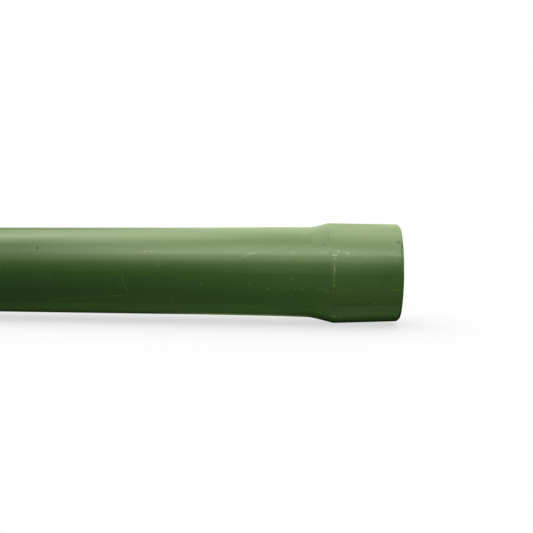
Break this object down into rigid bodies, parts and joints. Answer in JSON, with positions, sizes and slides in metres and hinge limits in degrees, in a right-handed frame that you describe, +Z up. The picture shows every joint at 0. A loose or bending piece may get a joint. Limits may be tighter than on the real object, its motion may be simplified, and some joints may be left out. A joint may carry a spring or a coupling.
{
  "type": "pvc electrical conduit",
  "caption": "Rigid PVC electrical conduit, one straight length with a bell formed at one end to take the plain end of the next length.",
  "frame": {"origin": "on the ground, midway along the length and straight under the pipe's axis", "axes": "+X along the pipe, from the plain end towards the bell's mouth; +Z up"},
  "size_m": [3.048, 0.1278, 0.1282],
  "materials": {
    "green_pvc": "satin"
  },
  "bodies": {
    "root": {"conduit": "green_pvc"}
  },
  "joints": []
}
